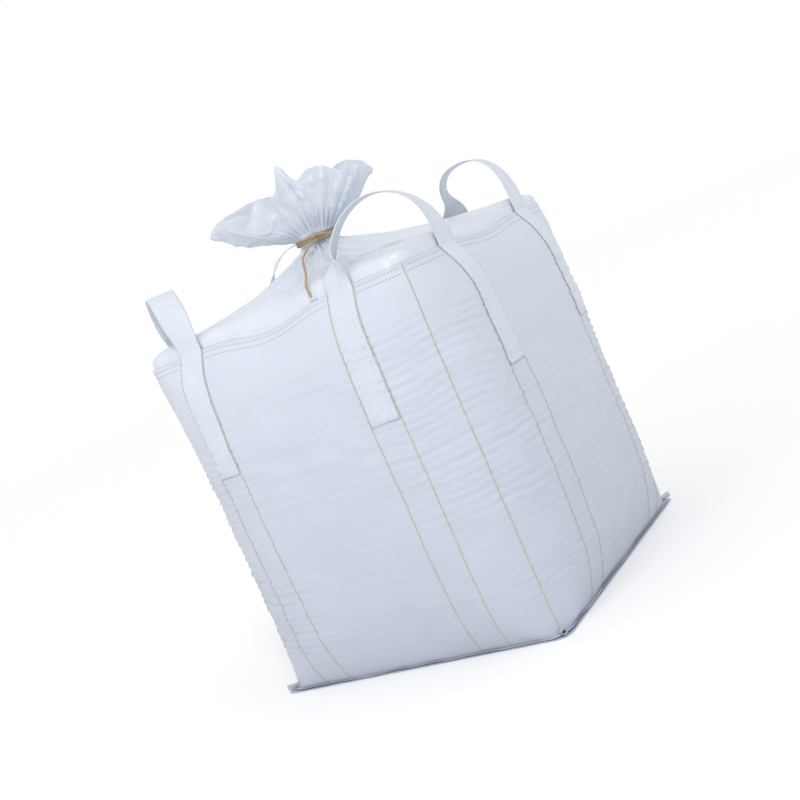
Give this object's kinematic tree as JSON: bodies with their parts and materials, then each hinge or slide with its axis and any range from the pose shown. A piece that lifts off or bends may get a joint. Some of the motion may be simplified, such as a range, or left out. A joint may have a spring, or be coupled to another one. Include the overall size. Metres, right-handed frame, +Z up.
{
  "type": "bulk bag",
  "caption": "Filled woven bulk bag with a square base, webbing lift loops across its corners and a gathered top skirt tied at the neck.",
  "frame": {"origin": "on the floor at the middle of the square base", "axes": "+Z up, -Y out of the front wall, +X out of the right wall"},
  "size_m": [1.0588, 1.0588, 1.422],
  "materials": {
    "wall_fabric": "woven, slightly glossy",
    "base_fabric": "woven, slightly glossy",
    "skirt_fabric": "thin coated fabric, glossy",
    "lift_webbing": "coarse twill webbing",
    "marker_yarn": "flat tape yarn",
    "seam_thread": "twisted sewing thread",
    "webbing_stitching": "twisted sewing thread",
    "tie_cord": "twisted twine, fuzzy"
  },
  "bodies": {
    "bag": {"base_corner_ears": "base_fabric", "base_panel": "base_fabric", "base_seam_hem": "base_fabric", "base_seam_stitching": "seam_thread", "body_tube": "wall_fabric", "closing_skirt": "skirt_fabric", "loop_back_left_leg_on_back": "lift_webbing", "loop_back_left_leg_on_left": "lift_webbing", "loop_back_left_stitching": "webbing_stitching", "loop_back_right_leg_on_back": "lift_webbing", "loop_back_right_leg_on_right": "lift_webbing", "loop_back_right_stitching": "webbing_stitching", "loop_front_left_leg_on_front": "lift_webbing", "loop_front_left_leg_on_left": "lift_webbing", "loop_front_left_stitching": "webbing_stitching", "loop_front_right_leg_on_front": "lift_webbing", "loop_front_right_leg_on_right": "lift_webbing", "loop_front_right_stitching": "webbing_stitching", "marker_yarns_back_left": "marker_yarn", "marker_yarns_back_right": "marker_yarn", "marker_yarns_front_left": "marker_yarn", "marker_yarns_front_right": "marker_yarn", "rim_hem": "wall_fabric", "rim_stitching": "seam_thread", "skirt_neck": "skirt_fabric", "tie_anchor_patch": "skirt_fabric", "tie_cord_knot": "tie_cord", "tie_cord_run": "tie_cord", "tie_cord_short_end": "tie_cord", "tie_cord_wraps": "tie_cord"},
    "bloom": {"skirt_bloom": "skirt_fabric"},
    "loop_front_right": {"loop_front_right_arch": "lift_webbing"},
    "loop_back_right": {"loop_back_right_arch": "lift_webbing"},
    "loop_back_left": {"loop_back_left_arch": "lift_webbing"},
    "loop_front_left": {"loop_front_left_arch": "lift_webbing"}
  },
  "joints": [
    {"name": "loop_front_right_swing", "type": "hinge", "parent": "bag", "child": "loop_front_right", "pos_m": [0.36178, -0.34428, 1.08], "axis": [0.6491, 0.7607, 0], "range_deg": [-60, 60], "stiffness_Nm_per_rad": 0.15},
    {"name": "loop_back_right_swing", "type": "hinge", "parent": "bag", "child": "loop_back_right", "pos_m": [0.32178, 0.37178, 1.08], "axis": [-0.8395, 0.5434, 0], "range_deg": [-60, 60], "stiffness_Nm_per_rad": 0.15},
    {"name": "loop_back_left_swing", "type": "hinge", "parent": "bag", "child": "loop_back_left", "pos_m": [-0.35678, 0.35678, 1.08], "axis": [-0.7071, -0.7071, 0], "range_deg": [-60, 60], "stiffness_Nm_per_rad": 0.15},
    {"name": "loop_front_left_swing", "type": "hinge", "parent": "bag", "child": "loop_front_left", "pos_m": [-0.36878, -0.37178, 1.08], "axis": [0.7184, -0.6956, 0], "range_deg": [-60, 60], "stiffness_Nm_per_rad": 0.15},
    {"name": "bloom_tilt", "type": "hinge", "parent": "bag", "child": "bloom", "pos_m": [-0.03355, -0.02179, 1.196], "axis": [0.8387, 0.5446, 0], "range_deg": [-20, 20], "stiffness_Nm_per_rad": 0.6}
  ]
}
